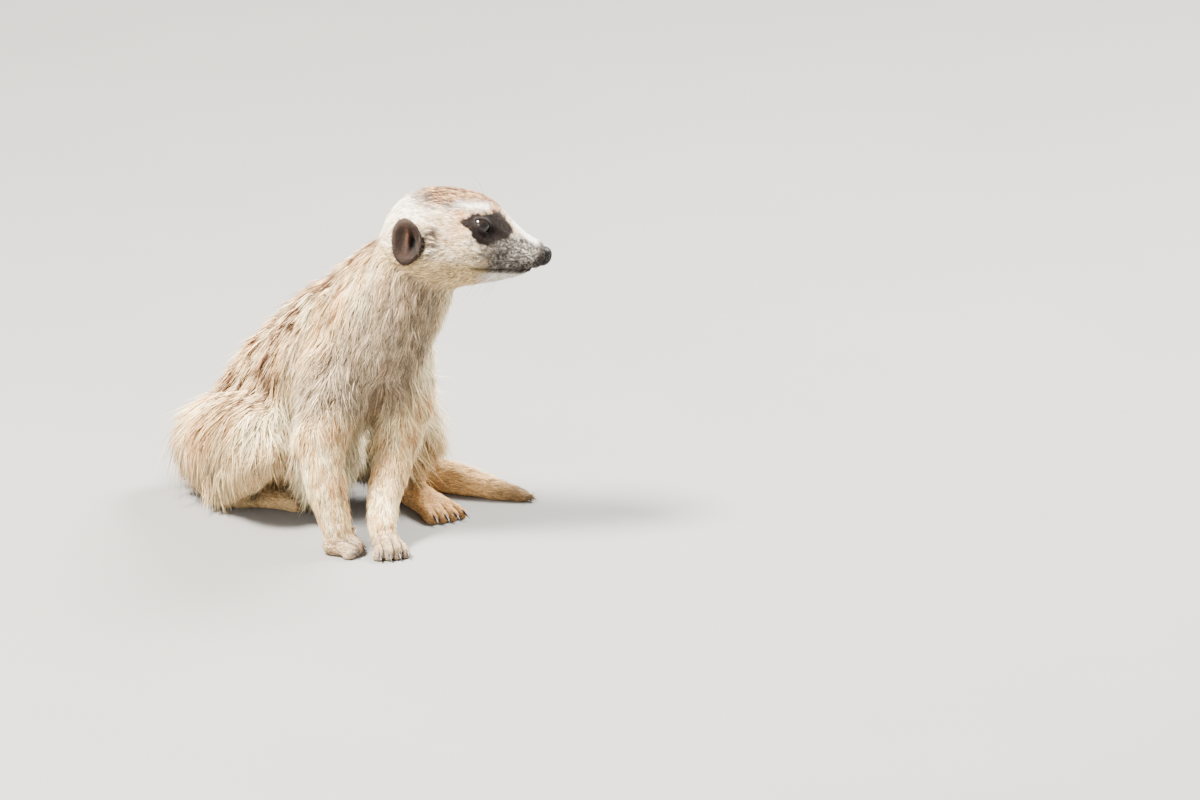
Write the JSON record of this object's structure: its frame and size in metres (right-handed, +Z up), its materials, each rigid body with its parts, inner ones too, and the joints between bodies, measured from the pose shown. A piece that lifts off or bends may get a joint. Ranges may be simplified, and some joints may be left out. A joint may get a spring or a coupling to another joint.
{
  "type": "meerkat",
  "caption": "Life-size still model of a meerkat sitting on its haunches, forelegs straight, head turned aside, tail laid along the floor.",
  "frame": {"origin": "on the floor, in the middle of the small flat that the seat rests on", "axes": "+X is the way the head looks, -Y the side of the head's right ear and eye, +Z up; the trunk faces 54 degrees from +X towards -Y"},
  "size_m": [0.1901, 0.1776, 0.1883],
  "materials": {
    "coat_cream": "soft cream and tan fur",
    "coat_tan": "short tan fur of the tail",
    "ear_dark": "dark brown short-haired ear",
    "eye_gloss": "wet dark brown eye",
    "nose_black": "damp black nose pad",
    "claw_horn": "dark horn"
  },
  "bodies": {
    "root": {"head": "coat_cream", "neck": "coat_cream", "chest": "coat_cream", "rump": "coat_cream", "foreleg_upper_right": "coat_cream", "foreleg_lower_right": "coat_cream", "foreleg_upper_left": "coat_cream", "foreleg_lower_left": "coat_cream", "thigh_right": "coat_cream", "shank_right": "coat_cream", "thigh_left": "coat_cream", "shank_left": "coat_cream", "forepaw_left": "coat_cream", "forepaw_right": "coat_cream", "hindpaw_left": "coat_cream", "hindpaw_right": "coat_cream", "tail_base": "coat_tan", "tail_middle": "coat_tan", "tail_tip": "coat_tan", "ear_left": "ear_dark", "ear_right": "ear_dark", "eye_left": "eye_gloss", "eye_right": "eye_gloss", "nose": "nose_black", "forepaw_left_claw_1": "claw_horn", "forepaw_left_claw_2": "claw_horn", "forepaw_left_claw_3": "claw_horn", "forepaw_left_claw_4": "claw_horn", "forepaw_right_claw_1": "claw_horn", "forepaw_right_claw_2": "claw_horn", "forepaw_right_claw_3": "claw_horn", "forepaw_right_claw_4": "claw_horn", "hindpaw_left_claw_1": "claw_horn", "hindpaw_left_claw_2": "claw_horn", "hindpaw_left_claw_3": "claw_horn", "hindpaw_left_claw_4": "claw_horn", "hindpaw_right_claw_1": "claw_horn", "hindpaw_right_claw_2": "claw_horn", "hindpaw_right_claw_3": "claw_horn", "hindpaw_right_claw_4": "claw_horn"}
  },
  "joints": []
}
